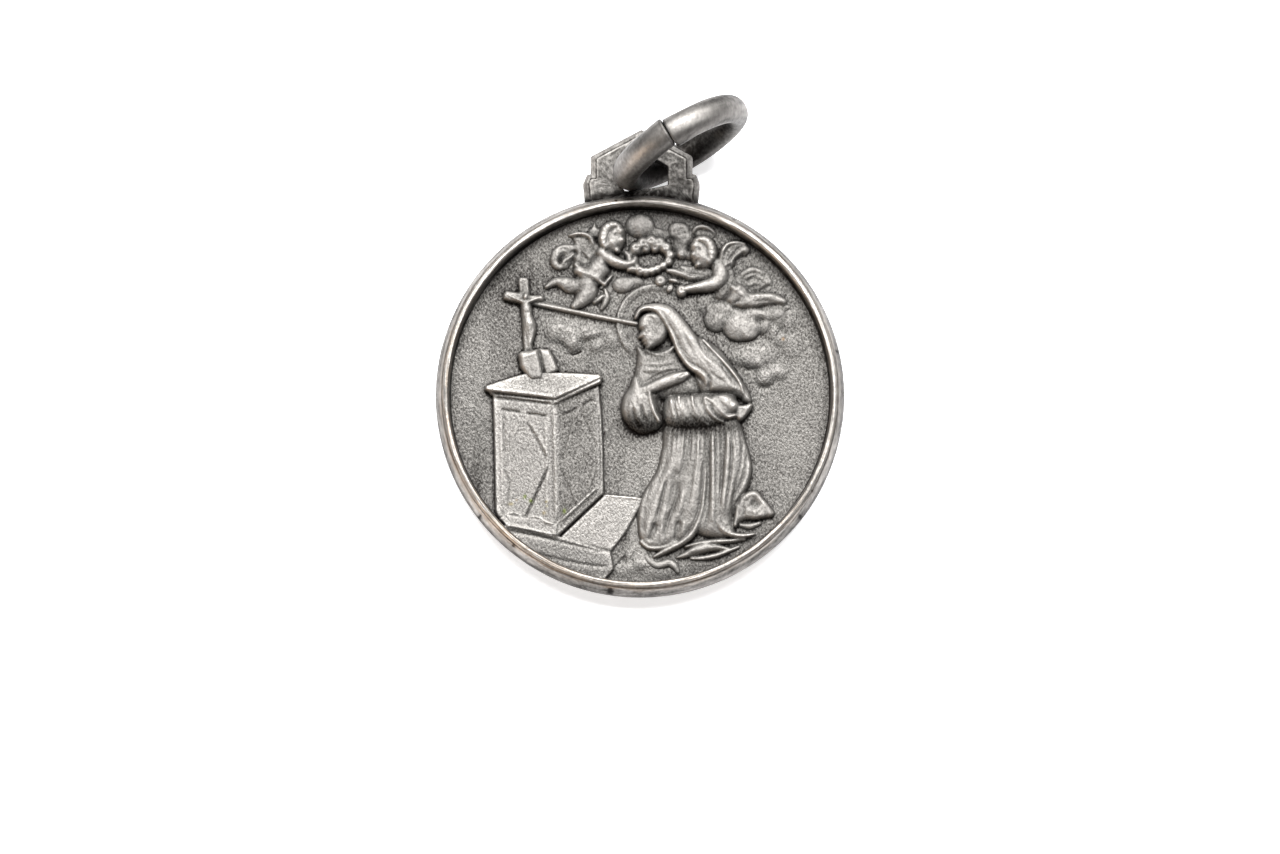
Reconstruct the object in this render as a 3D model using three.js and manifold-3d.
// A small struck medal of oxidised silver on a split jump ring, lying face up.
// Lengths are in millimetres, with +Z up and +Y towards the lug.

import * as THREE from 'three';
import { mergeVertices } from 'three/addons/utils/BufferGeometryUtils.js';
import Module from 'manifold-3d';

const wasm = await Module();
wasm.setup();

// Disc: a flat plate between a high front rim and a low back rim
const discRadius = 10;
const rimWidth = 0.75;
const plateThickness = 0.72;
const frontRimHeight = 0.78;
const backRimHeight = 0.28;
const discSides = 80;

// Lug: a gabled house on two legs, whose feet step out onto the disc's edge. Its sides slope out
// from both faces to a band round its middle.
const lugWidth = 4.36;
const lugFootWidth = 5.1;
const lugFootTaper = 0.12;
const lugFootRise = 0.7;
const lugEaveRise = 1.74;
const lugRidgeRise = 2.93;
const lugThickness = 1.1;
const lugBackInset = 0.3;
const lugOffset = 0.07;
const lugShoulder = 0.2;
const lugDraft = 0.34;
const lugBand = 0.12;
const lugRoot = 0.35;
const openingWidth = 2.72;
const openingOffset = -0.06;
const openingSill = 0.06;
const openingBevel = 0.3;
const gableBar = 0.68;

// Jump ring: oval wire bent round, with a small split
const ringInnerDiameter = 4.9;
const ringWireRadial = 1.25;
const ringWireAxial = 1.46;
const ringSplit = 0.16;
const ringSplitStep = 0.12;
const ringSplitAngle = 103;
const ringSteps = 40;
const ringSides = 12;

// How the ring stands in the lug's opening
const ringHeading = 30;
const ringLean = 1.8;
const rimClearance = 0.13;
const legClearance = 0.33;
const ringSide = -0.41;

// Relief on the front field
const reliefHeight = 0.8;
const reliefRoot = 0.2;
const moundSides = 12;
const moundRings = 6;
const limbSides = 8;
const limbSteps = 2;

const degrees = Math.PI / 180;

// Sizes that follow from the ones above
const fieldRadius = discRadius - rimWidth;
const fieldLevel = backRimHeight + plateThickness;
const discThickness = fieldLevel + frontRimHeight;
const ringRadius = ringInnerDiameter / 2 + ringWireRadial / 2;
const ringOuterRadius = ringInnerDiameter / 2 + ringWireRadial;

// Rim section, from the back field round the edge to the front field.
// Columns: inset from the edge in rim widths, height in disc thicknesses.
const rimSection = [
  [1.0, backRimHeight / discThickness],
  [0.84, 0.02],
  [0.66, 0.0],
  [0.34, 0.06],
  [0.09, 0.26],
  [0.0, 0.5],
  [0.06, 0.68],
  [0.26, 0.85],
  [0.52, 0.965],
  [0.66, 1.0],
  [0.79, 0.985],
  [0.83, 0.955],
  [1.0, fieldLevel / discThickness],
];

// Plates of the relief, from the back of the scene to its front: flat forms with a rounded edge.
// Columns: height in relief heights, edge rounding, then the outline, both in field radii.
const plates = {
  halo: [0.12, 0.02, [[-0.125, 0.43], [-0.09, 0.5], [-0.03, 0.56], [0.06, 0.59], [0.17, 0.57],
    [0.25, 0.51], [0.3, 0.42], [0.2, 0.3], [0.0, 0.3]]],
  stepFront: [0.16, 0.01, [[-0.69, -0.735], [-0.43, -0.785], [-0.152, -0.845], [-0.14, -0.93],
    [-0.3, -0.95], [-0.45, -0.89], [-0.6, -0.8]]],
  stepTop: [0.24, 0.01, [[-0.43, -0.765], [-0.185, -0.535], [0.0, -0.553], [-0.02, -0.65],
    [-0.07, -0.74], [-0.152, -0.842]]],
  altarSide: [0.3, 0.01, [[-0.47, -0.06], [-0.215, 0.04], [-0.195, -0.25], [-0.185, -0.52],
    [-0.434, -0.76], [-0.47, -0.6]]],
  altarFront: [0.4, 0.01, [[-0.782, -0.01], [-0.447, -0.06], [-0.436, -0.755], [-0.6, -0.725],
    [-0.75, -0.66], [-0.762, -0.63]]],
  plinthSide: [0.38, 0.008, [[-0.45, -0.7], [-0.225, -0.49], [-0.185, -0.53], [-0.433, -0.765]]],
  plinthFront: [0.46, 0.008, [[-0.74, -0.665], [-0.72, -0.64], [-0.5, -0.675], [-0.437, -0.695],
    [-0.433, -0.765], [-0.7, -0.715]]],
  altarTop: [0.5, 0.016, [[-0.825, 0.02], [-0.8, 0.05], [-0.666, 0.095], [-0.61, 0.112],
    [-0.405, 0.118], [-0.21, 0.105], [-0.197, 0.08], [-0.3, 0.02], [-0.45, -0.052], [-0.79, -0.004]]],
  standBack: [0.5, 0.012, [[-0.53, 0.248], [-0.49, 0.228], [-0.455, 0.165], [-0.432, 0.118],
    [-0.47, 0.102], [-0.52, 0.09]]],
  standFront: [0.62, 0.012, [[-0.655, 0.205], [-0.6, 0.224], [-0.525, 0.25], [-0.52, 0.13],
    [-0.508, 0.078], [-0.55, 0.06], [-0.6, 0.075], [-0.632, 0.15]]],
  crossPost: [0.34, 0.01, [[-0.643, 0.605], [-0.634, 0.622], [-0.6, 0.622], [-0.59, 0.6],
    [-0.573, 0.4], [-0.566, 0.235], [-0.613, 0.225], [-0.628, 0.45]]],
  crossBar: [0.36, 0.01, [[-0.72, 0.548], [-0.706, 0.555], [-0.64, 0.546], [-0.52, 0.536],
    [-0.51, 0.52], [-0.518, 0.5], [-0.62, 0.482], [-0.718, 0.504]]],
  leftWing: [0.34, 0.014, [[-0.38, 0.858], [-0.34, 0.873], [-0.28, 0.87], [-0.25, 0.852],
    [-0.235, 0.8], [-0.26, 0.73], [-0.29, 0.69], [-0.32, 0.745], [-0.35, 0.78], [-0.365, 0.82]]],
  leftWingTip: [0.3, 0.01, [[-0.27, 0.872], [-0.252, 0.9], [-0.236, 0.93], [-0.222, 0.9],
    [-0.208, 0.88], [-0.23, 0.85]]],
  rightWing: [0.4, 0.016, [[0.425, 0.74], [0.435, 0.79], [0.465, 0.82], [0.51, 0.83],
    [0.555, 0.82], [0.586, 0.79], [0.565, 0.755], [0.52, 0.73], [0.505, 0.7], [0.475, 0.67],
    [0.445, 0.66]]],
  cherubDrape: [0.34, 0.014, [[0.16, 0.655], [0.18, 0.68], [0.215, 0.692], [0.28, 0.7],
    [0.37, 0.69], [0.362, 0.635], [0.3, 0.612], [0.24, 0.612], [0.2, 0.63]]],
  lyingBody: [0.52, 0.025, [[0.46, 0.5], [0.475, 0.55], [0.51, 0.605], [0.55, 0.602], [0.578, 0.57],
    [0.588, 0.53], [0.55, 0.5], [0.5, 0.482]]],
  nearShin: [0.46, 0.02, [[-0.345, 0.62], [-0.29, 0.605], [-0.24, 0.577], [-0.234, 0.54],
    [-0.25, 0.5], [-0.3, 0.476], [-0.345, 0.455], [-0.365, 0.466], [-0.37, 0.5], [-0.34, 0.548]]],
  robe: [0.46, 0.03, [[0.14, -0.17], [0.112, -0.285], [0.083, -0.4], [0.031, -0.5], [-0.009, -0.57],
    [-0.02, -0.634], [-0.012, -0.721], [0.009, -0.791], [0.031, -0.832], [0.135, -0.832],
    [0.21, -0.8], [0.29, -0.745], [0.36, -0.77], [0.45, -0.77], [0.5, -0.74], [0.47, -0.67],
    [0.507, -0.593], [0.57, -0.5], [0.588, -0.42], [0.581, -0.314], [0.547, -0.227],
    [0.52, -0.14]]],
  shoe: [0.46, 0.025, [[0.5, -0.61], [0.553, -0.541], [0.604, -0.518], [0.65, -0.56], [0.7, -0.622],
    [0.69, -0.66], [0.62, -0.665], [0.55, -0.66]]],
  veil: [0.68, 0.02, [[0.03, 0.487], [0.099, 0.5], [0.163, 0.476], [0.217, 0.427], [0.26, 0.366],
    [0.304, 0.312], [0.352, 0.29], [0.422, 0.24], [0.481, 0.164], [0.535, 0.082], [0.56, 0.03],
    [0.54, -0.005], [0.476, 0.0], [0.395, 0.005], [0.34, 0.01], [0.298, 0.082], [0.25, 0.136],
    [0.19, 0.218], [0.163, 0.284], [0.136, 0.334], [0.109, 0.388], [0.07, 0.43]]],
  bust: [0.6, 0.03, [[-0.02, 0.252], [0.02, 0.222], [0.09, 0.205], [0.17, 0.235], [0.2, 0.19],
    [0.25, 0.128], [0.298, 0.072], [0.315, 0.0], [0.14, -0.02], [0.128, -0.15], [0.09, -0.2],
    [0.012, -0.217], [-0.036, -0.203], [-0.079, -0.148], [-0.098, -0.088], [-0.09, -0.028],
    [-0.063, 0.032], [-0.031, 0.093], [-0.023, 0.175]]],
  sleeve: [0.82, 0.045, [[0.131, -0.022], [0.158, 0.005], [0.244, 0.005], [0.314, 0.011], [0.4, 0.012],
    [0.5, 0.002], [0.514, -0.05], [0.508, -0.132], [0.455, -0.165], [0.379, -0.195],
    [0.271, -0.203], [0.163, -0.198], [0.126, -0.148]]],
  sleeveEnd: [0.6, 0.015, [[0.51, -0.07], [0.53, -0.063], [0.59, -0.055], [0.585, -0.085],
    [0.56, -0.12], [0.53, -0.148], [0.51, -0.13]]],
};

// Limbs of the relief: long round forms such as arms, folds and rays.
// Rows of x, y, half width in field radii, height in relief heights.
const limbs = {
  ray: [[-0.56, 0.484, 0.011, 0.26], [-0.3, 0.432, 0.011, 0.26], [-0.02, 0.376, 0.011, 0.3]],
  corpus: [[-0.605, 0.5, 0.026, 0.5], [-0.597, 0.44, 0.024, 0.5], [-0.575, 0.37, 0.03, 0.54],
    [-0.577, 0.31, 0.018, 0.5], [-0.58, 0.262, 0.01, 0.44]],
  corpusLeftArm: [[-0.61, 0.488, 0.014, 0.48], [-0.66, 0.512, 0.012, 0.48], [-0.7, 0.535, 0.01, 0.46]],
  corpusRightArm: [[-0.6, 0.488, 0.014, 0.48], [-0.56, 0.507, 0.011, 0.48], [-0.525, 0.524, 0.009, 0.46]],
  rightThigh: [[0.56, 0.52, 0.03, 0.4], [0.64, 0.522, 0.028, 0.42], [0.7, 0.52, 0.024, 0.4],
    [0.765, 0.502, 0.01, 0.3]],
  rightCalf: [[0.53, 0.49, 0.024, 0.4], [0.6, 0.478, 0.02, 0.36], [0.68, 0.478, 0.016, 0.32],
    [0.745, 0.48, 0.01, 0.26]],
  featherTop: [[0.535, 0.655, 0.012, 0.24], [0.6, 0.68, 0.018, 0.3], [0.65, 0.668, 0.018, 0.3],
    [0.69, 0.63, 0.01, 0.2]],
  featherMid: [[0.55, 0.618, 0.012, 0.28], [0.6, 0.636, 0.016, 0.3], [0.65, 0.625, 0.012, 0.22]],
  featherLow: [[0.585, 0.575, 0.012, 0.28], [0.64, 0.592, 0.014, 0.28], [0.7, 0.6, 0.008, 0.18]],
  swirlOuter: [[-0.385, 0.805, 0.012, 0.24], [-0.435, 0.79, 0.017, 0.3], [-0.47, 0.745, 0.017, 0.3],
    [-0.458, 0.695, 0.017, 0.3], [-0.42, 0.68, 0.012, 0.26]],
  swirlInner: [[-0.37, 0.75, 0.014, 0.26], [-0.4, 0.715, 0.02, 0.3], [-0.44, 0.7, 0.012, 0.24]],
  torso: [[-0.19, 0.755, 0.03, 0.44], [-0.235, 0.71, 0.05, 0.56], [-0.28, 0.655, 0.055, 0.56],
    [-0.315, 0.62, 0.035, 0.46]],
  leftArm: [[-0.2, 0.765, 0.018, 0.5], [-0.16, 0.728, 0.03, 0.62], [-0.11, 0.7, 0.026, 0.6],
    [-0.06, 0.7, 0.026, 0.56], [-0.025, 0.725, 0.022, 0.5]],
  backLeg: [[-0.345, 0.578, 0.034, 0.34], [-0.4, 0.59, 0.035, 0.38], [-0.45, 0.602, 0.03, 0.36],
    [-0.51, 0.58, 0.014, 0.26]],
  rightArm: [[0.42, 0.73, 0.014, 0.42], [0.41, 0.68, 0.03, 0.54], [0.39, 0.628, 0.034, 0.62],
    [0.345, 0.595, 0.03, 0.62], [0.28, 0.585, 0.02, 0.56], [0.23, 0.565, 0.026, 0.52]],
  brow: [[0.02, 0.398, 0.016, 0.58], [0.075, 0.41, 0.02, 0.64], [0.12, 0.37, 0.016, 0.6]],
  nose: [[0.035, 0.375, 0.012, 0.62], [0.02, 0.345, 0.014, 0.68], [0.012, 0.322, 0.014, 0.66]],
  chin: [[0.03, 0.262, 0.016, 0.52], [0.06, 0.25, 0.022, 0.56], [0.1, 0.262, 0.016, 0.52]],
  wimple: [[0.04, 0.212, 0.012, 0.56], [0.1, 0.205, 0.02, 0.62], [0.165, 0.24, 0.018, 0.64]],
  forearm: [[-0.02, 0.02, 0.04, 0.66], [0.08, 0.045, 0.042, 0.76], [0.17, 0.075, 0.036, 0.8],
    [0.255, 0.1, 0.016, 0.72]],
  fingers: [[0.17, 0.03, 0.014, 0.7], [0.21, 0.038, 0.016, 0.76], [0.25, 0.06, 0.012, 0.7]],
  sleeveFoldLow: [[-0.03, -0.02, 0.018, 0.66], [-0.045, -0.09, 0.02, 0.68], [-0.015, -0.16, 0.014, 0.62]],
  sleeveFoldMid: [[0.02, -0.02, 0.018, 0.68], [0.0, -0.08, 0.02, 0.7], [0.03, -0.15, 0.014, 0.64]],
  cuff: [[0.055, -0.02, 0.014, 0.7], [0.065, -0.09, 0.015, 0.72], [0.1, -0.15, 0.012, 0.66]],
  sleeveFoldNear: [[0.33, -0.01, 0.02, 0.86], [0.33, -0.08, 0.022, 0.9], [0.4, -0.15, 0.014, 0.84]],
  veilFoldOut: [[0.31, 0.28, 0.014, 0.7], [0.37, 0.21, 0.02, 0.74], [0.45, 0.12, 0.02, 0.74],
    [0.52, 0.02, 0.014, 0.7]],
  veilFoldMid: [[0.2, 0.37, 0.02, 0.72], [0.27, 0.25, 0.026, 0.78], [0.35, 0.13, 0.026, 0.76],
    [0.42, 0.05, 0.014, 0.7]],
  veilBrow: [[-0.022, 0.4, 0.01, 0.56], [-0.002, 0.445, 0.016, 0.64], [0.04, 0.468, 0.022, 0.68],
    [0.085, 0.468, 0.026, 0.7]],
  veilTip: [[0.535, 0.045, 0.024, 0.66], [0.568, -0.01, 0.014, 0.6], [0.583, -0.04, 0.008, 0.5]],
  veilEnd: [[0.27, 0.13, 0.02, 0.72], [0.32, 0.1, 0.022, 0.78], [0.345, 0.06, 0.016, 0.74]],
  robeFoldA: [[0.17, -0.2, 0.022, 0.5], [0.13, -0.4, 0.03, 0.58], [0.05, -0.6, 0.024, 0.56],
    [0.02, -0.78, 0.014, 0.5]],
  robeFoldB: [[0.22, -0.2, 0.022, 0.52], [0.19, -0.4, 0.03, 0.6], [0.12, -0.6, 0.026, 0.58],
    [0.1, -0.8, 0.016, 0.5]],
  robeFoldC: [[0.3, -0.2, 0.022, 0.54], [0.28, -0.4, 0.036, 0.64], [0.22, -0.6, 0.036, 0.62],
    [0.16, -0.78, 0.016, 0.52]],
  robeStrand: [[0.345, -0.3, 0.014, 0.58], [0.34, -0.5, 0.018, 0.64], [0.315, -0.66, 0.018, 0.64],
    [0.26, -0.765, 0.018, 0.6], [0.17, -0.825, 0.016, 0.5], [0.075, -0.87, 0.01, 0.36]],
  robeFoldD: [[0.38, -0.19, 0.014, 0.56], [0.385, -0.4, 0.016, 0.62], [0.375, -0.6, 0.016, 0.62],
    [0.38, -0.74, 0.012, 0.5]],
  robeFoldE: [[0.43, -0.18, 0.014, 0.56], [0.43, -0.4, 0.018, 0.62], [0.42, -0.62, 0.016, 0.6],
    [0.45, -0.73, 0.014, 0.52], [0.53, -0.765, 0.014, 0.48], [0.6, -0.75, 0.01, 0.34]],
  robeFoldF: [[0.5, -0.17, 0.02, 0.54], [0.505, -0.35, 0.022, 0.6], [0.48, -0.5, 0.018, 0.58],
    [0.46, -0.62, 0.012, 0.5]],
  robeFoldG: [[0.55, -0.26, 0.018, 0.52], [0.572, -0.38, 0.02, 0.58], [0.555, -0.48, 0.018, 0.56],
    [0.5, -0.58, 0.014, 0.5]],
  hem: [[0.02, -0.815, 0.014, 0.44], [0.08, -0.828, 0.014, 0.46], [0.14, -0.818, 0.012, 0.44]],
  leaf: [[0.215, -0.866, 0.01, 0.24], [0.28, -0.84, 0.022, 0.36], [0.36, -0.812, 0.02, 0.38],
    [0.43, -0.815, 0.014, 0.32], [0.475, -0.82, 0.008, 0.22]],
  leafLow: [[0.325, -0.868, 0.012, 0.26], [0.4, -0.855, 0.014, 0.3], [0.5, -0.822, 0.009, 0.22]],
  squiggle: [[0.05, -0.9, 0.014, 0.2], [0.1, -0.912, 0.02, 0.24], [0.16, -0.905, 0.02, 0.24],
    [0.195, -0.935, 0.012, 0.18]],
};

// Mounds of the relief: heads, flowers and puffs of cloud.
// Rows of x, y, half width, half length in field radii, turn in degrees, height in relief heights.
const mounds = [
  [0.594, 0.195, 0.11, 0.06, 10, 0.13],
  [0.66, 0.08, 0.07, 0.045, 0, 0.12],
  [-0.376, 0.34, 0.1, 0.07, 0, 0.14],
  [-0.25, 0.33, 0.07, 0.03, 10, 0.1],
  [0.66, 0.415, 0.11, 0.05, 5, 0.3],
  [0.42, 0.425, 0.088, 0.085, 0, 0.5],
  [0.545, 0.385, 0.092, 0.092, 0, 0.56],
  [0.3, 0.47, 0.05, 0.03, 20, 0.16],
  [-0.005, 0.915, 0.064, 0.06, 0, 0.34],
  [-0.085, 0.575, 0.06, 0.045, 10, 0.28],
  [0.22, 0.76, 0.045, 0.032, -10, 0.36],
  [0.21, 0.885, 0.064, 0.048, -8, 0.36],
  [0.33, 0.885, 0.062, 0.032, -12, 0.34],
  [-0.42, 0.81, 0.03, 0.02, 20, 0.2],
  [-0.145, 0.84, 0.058, 0.078, 0, 0.66],
  [0.345, 0.76, 0.058, 0.085, 6, 0.66],
  [0.115, 0.612, 0.036, 0.034, 0, 0.38],
  [0.165, 0.572, 0.024, 0.026, -20, 0.34],
  [0.222, 0.565, 0.036, 0.034, 0, 0.56],
  [0.55, 0.575, 0.03, 0.036, 20, 0.5],
  [-0.605, 0.518, 0.02, 0.026, -12, 0.62],
  [0.07, 0.335, 0.082, 0.108, -14, 0.6],
];

// The wreath's roses stand round an oval
const wreathCentre = [0.064, 0.745];
const wreathHalf = [0.104, 0.074];
const wreathTurn = 22;
const wreathRoses = 12;
const roseHalf = 0.03;
const roseHeight = 0.42;

// Turns a geometry into a solid that can be joined or cut
function solid(geometry) {
  const bare = geometry.index ? geometry.clone() : mergeVertices(geometry);
  bare.deleteAttribute('normal');
  bare.deleteAttribute('uv');
  const merged = mergeVertices(bare, 1e-5);
  const vertProperties = new Float32Array(merged.attributes.position.array);
  const corners = merged.index.array;
  const triVerts = new Uint32Array(corners.filter((corner, i) => {
    const start = i - (i % 3);
    const [a, b, c] = corners.slice(start, start + 3);
    return a !== b && b !== c && c !== a;
  }));
  return new wasm.Manifold(new wasm.Mesh({ numProp: 3, vertProperties, triVerts }));
}

// Turns a solid back into a geometry
function geometryOf(body) {
  const mesh = body.getMesh();
  const geometry = new THREE.BufferGeometry();
  geometry.setAttribute('position', new THREE.BufferAttribute(mesh.vertProperties, 3));
  geometry.setIndex(new THREE.BufferAttribute(mesh.triVerts, 1));
  geometry.computeVertexNormals();
  return geometry;
}

// Moves every vertex of a geometry by a function of its place
function bend(geometry, place) {
  const position = geometry.attributes.position;
  const point = new THREE.Vector3();
  for (let i = 0; i < position.count; i += 1) {
    point.fromBufferAttribute(position, i);
    place(point);
    position.setXYZ(i, point.x, point.y, point.z);
  }
  return geometry;
}

// Height above the field, or the short root below it, for a level from -1 to 1
function rise(level, height) {
  return fieldLevel + (level > 0 ? level * height * reliefHeight : level * reliefRoot);
}

function outline(points) {
  return new THREE.Shape(points.map(([x, y]) => new THREE.Vector2(x, y)));
}

function discGeometry() {
  const edge = rimSection.map(([inset, height]) => new THREE.Vector2(
    discRadius - inset * rimWidth,
    height * discThickness,
  ));
  const profile = [new THREE.Vector2(0, backRimHeight), ...edge, new THREE.Vector2(0, fieldLevel)];
  return new THREE.LatheGeometry(profile, discSides).rotateX(Math.PI / 2);
}

function lugGeometry() {
  const legs = lugWidth / 2;
  const feet = lugFootWidth / 2;
  const foot = discRadius + lugFootRise;
  const eave = discRadius + lugEaveRise;
  const ridge = discRadius + lugRidgeRise;
  const rootRadius = discRadius - lugRoot;
  const root = [-1, -0.5, 0, 0.5, 1].map((side) => {
    const x = side * (feet - lugFootTaper);
    return [x, Math.sqrt(rootRadius ** 2 - x ** 2)];
  });
  const house = outline([
    ...root, [feet, foot - lugShoulder], [feet - lugShoulder, foot], [legs, foot], [legs, eave],
    [0, ridge], [-legs, eave], [-legs, foot], [lugShoulder - feet, foot], [-feet, foot - lugShoulder],
  ]);

  const slope = (lugRidgeRise - lugEaveRise) / legs;
  const half = openingWidth / 2;
  const peak = ridge - gableBar * Math.hypot(1, slope);
  const gateway = (sill) => outline([
    [half, sill], [half, peak - slope * half], [0, peak], [-half, peak - slope * half], [-half, sill],
  ]);

  const chamfer = (lugThickness - lugBand) / 2;
  const walls = new THREE.ExtrudeGeometry(house, {
    depth: lugBand,
    bevelThickness: chamfer,
    bevelSize: lugDraft,
    bevelSegments: 2,
  }).translate(lugOffset, 0, lugBackInset + chamfer);
  const hole = new THREE.ExtrudeGeometry(gateway(discRadius + openingSill), {
    depth: 2 * discThickness,
    bevelEnabled: false,
  }).translate(lugOffset + openingOffset, 0, -discThickness / 2);
  const backBevel = new THREE.ExtrudeGeometry(gateway(discRadius + openingSill + openingBevel), {
    depth: lugBackInset,
    bevelThickness: openingBevel,
    bevelSize: openingBevel,
    bevelSegments: 1,
  }).translate(lugOffset + openingOffset, 0, 0);
  return geometryOf(solid(walls).subtract(solid(hole)).subtract(solid(backBevel)));
}

function plateGeometry([height, edge, points]) {
  const round = edge * fieldRadius;
  const shape = outline(points.map(([x, y]) => [x * fieldRadius, y * fieldRadius]));
  const rounding = Math.min(round, height * reliefHeight);
  return new THREE.ExtrudeGeometry(shape, {
    depth: reliefRoot + height * reliefHeight - rounding,
    bevelThickness: rounding,
    bevelSize: round,
    bevelOffset: -round,
    bevelSegments: 2,
  }).translate(0, 0, fieldLevel - reliefRoot);
}

function limbGeometry(rows) {
  const path = new THREE.CatmullRomCurve3(
    rows.map(([x, y]) => new THREE.Vector3(x * fieldRadius, y * fieldRadius, 0)),
    false,
    'catmullrom',
  );
  const spans = rows.length - 1;
  const rod = new THREE.CylinderGeometry(1, 1, 1, limbSides, spans * limbSteps);
  return bend(rod, (point) => {
    const along = Math.min(Math.max(point.y + 0.5, 0), 1);
    const span = Math.min(Math.floor(along * spans), spans - 1);
    const share = along * spans - span;
    const half = THREE.MathUtils.lerp(rows[span][2], rows[span + 1][2], share) * fieldRadius;
    const height = THREE.MathUtils.lerp(rows[span][3], rows[span + 1][3], share);
    const centre = path.getPoint(along);
    const ahead = path.getTangent(along);
    const level = point.z;
    point.set(
      centre.x + ahead.y * point.x * half,
      centre.y - ahead.x * point.x * half,
      rise(level, height),
    );
  });
}

function moundGeometry([x, y, halfWidth, halfLength, turn, height]) {
  const ball = new THREE.SphereGeometry(1, moundSides, moundRings).rotateX(Math.PI / 2);
  bend(ball, (point) => {
    point.x *= halfWidth * fieldRadius;
    point.y *= halfLength * fieldRadius;
  });
  ball.rotateZ(turn * degrees);
  return bend(ball, (point) => {
    point.x += x * fieldRadius;
    point.y += y * fieldRadius;
    point.z = rise(point.z, height);
  });
}

function roseRows() {
  const rows = [];
  for (let rose = 0; rose < wreathRoses; rose += 1) {
    const angle = (rose / wreathRoses) * 2 * Math.PI;
    const place = new THREE.Vector2(wreathHalf[0] * Math.cos(angle), wreathHalf[1] * Math.sin(angle));
    place.rotateAround(new THREE.Vector2(), wreathTurn * degrees);
    rows.push([wreathCentre[0] + place.x, wreathCentre[1] + place.y, roseHalf, roseHalf, 0, roseHeight]);
  }
  return rows;
}

function medalGeometry() {
  const forms = [
    lugGeometry(),
    ...Object.values(plates).map(plateGeometry),
    ...Object.values(limbs).map(limbGeometry),
    ...[...mounds, ...roseRows()].map(moundGeometry),
  ];
  let body = solid(discGeometry());
  for (const form of forms) {
    body = body.add(solid(form));
  }
  return geometryOf(body);
}

// The wire's centre line: a circle from one end of the split round to the other, which springs out
class RingPath extends THREE.Curve {
  getPoint(share, target = new THREE.Vector3()) {
    const splitTurn = ringSplit / ringRadius;
    const angle = ringSplitAngle * degrees + splitTurn / 2 + share * (2 * Math.PI - splitTurn);
    const spring = ringSplitStep * Math.max(0, 1 - share * 6) ** 2;
    const radius = ringRadius + spring;
    return target.set(radius * Math.cos(angle), radius * Math.sin(angle), -spring);
  }
}

function ringGeometry() {
  const wire = new THREE.Shape();
  wire.absellipse(0, 0, ringWireRadial / 2, ringWireAxial / 2, 0, 2 * Math.PI);
  const section = new THREE.Shape(wire.getSpacedPoints(ringSides).slice(0, ringSides));
  return new THREE.ExtrudeGeometry(section, {
    steps: ringSteps,
    extrudePath: new RingPath(),
    bevelEnabled: false,
  });
}

// The medal leans on the ring's wire, which passes under the lug's leg. The lean sets how high the
// opening is, and so where the wire passes through it, so the two are worked out in turns.
function restingPose() {
  const heading = ringHeading * degrees;
  const legEdge = lugOffset + openingOffset + openingWidth / 2;
  const pivot = discRadius - rimSection[2][0] * rimWidth;
  const halfAcross = Math.hypot(ringWireRadial * Math.sin(heading), ringWireAxial * Math.cos(heading)) / 2;
  const crossingX = lugOffset + ringSide;
  const crossingY = discRadius + rimClearance + halfAcross;
  let prop = 0;
  let reach = ringRadius;
  let leaning = 0;
  for (let turn = 0; turn < 30; turn += 1) {
    const middle = (crossingY + pivot) * Math.sin(prop) + (lugBackInset + lugThickness / 2) * Math.cos(prop);
    reach = Math.sqrt(Math.max(ringRadius ** 2 - (ringOuterRadius - middle) ** 2, 0));
    const underLeg = (crossingX + reach * Math.cos(heading) - legEdge) / Math.cos(heading);
    const inner = ringInnerDiameter / 2;
    const wireTop = ringOuterRadius - Math.sqrt(Math.max(inner ** 2 - Math.max(underLeg, 0) ** 2, 0));
    const legY = crossingY + (reach - underLeg) * Math.sin(heading);
    const lift = wireTop + legClearance - lugBackInset;
    prop = Math.asin(lift / (legY + pivot));
    leaning = (ringOuterRadius - middle) * Math.sin(ringLean * degrees);
  }
  return {
    prop,
    centreX: crossingX + reach * Math.cos(heading) + leaning * Math.sin(heading),
    centreY: crossingY + reach * Math.sin(heading) - leaning * Math.cos(heading),
  };
}

// Stands an object on the floor
function settle(object) {
  object.updateMatrixWorld(true);
  object.position.z -= new THREE.Box3().setFromObject(object, true).min.z;
  object.updateMatrixWorld(true);
}

const silver = new THREE.MeshStandardMaterial({ color: 0x9c958a, roughness: 0.42, metalness: 1 });
const ringSilver = new THREE.MeshStandardMaterial({ color: 0xaaa49b, roughness: 0.35, metalness: 1 });

const pose = restingPose();

const medal = new THREE.Mesh(medalGeometry(), silver);
medal.name = 'medal';
medal.rotation.x = pose.prop;
settle(medal);

const ring = new THREE.Mesh(ringGeometry(), ringSilver);
ring.name = 'jump_ring';
const along = new THREE.Vector3(Math.cos(ringHeading * degrees), Math.sin(ringHeading * degrees), 0);
const up = new THREE.Vector3(0, 0, 1).applyAxisAngle(along, ringLean * degrees);
ring.setRotationFromMatrix(new THREE.Matrix4().makeBasis(along, up, along.clone().cross(up)));
ring.position.set(pose.centreX, pose.centreY, 0);
settle(ring);

const pendant = new THREE.Group();
pendant.add(medal, ring);
const size = new THREE.Box3().setFromObject(pendant, true);
pendant.position.set(-(size.min.x + size.max.x) / 2, -(size.min.y + size.max.y) / 2, 0);

export default pendant;
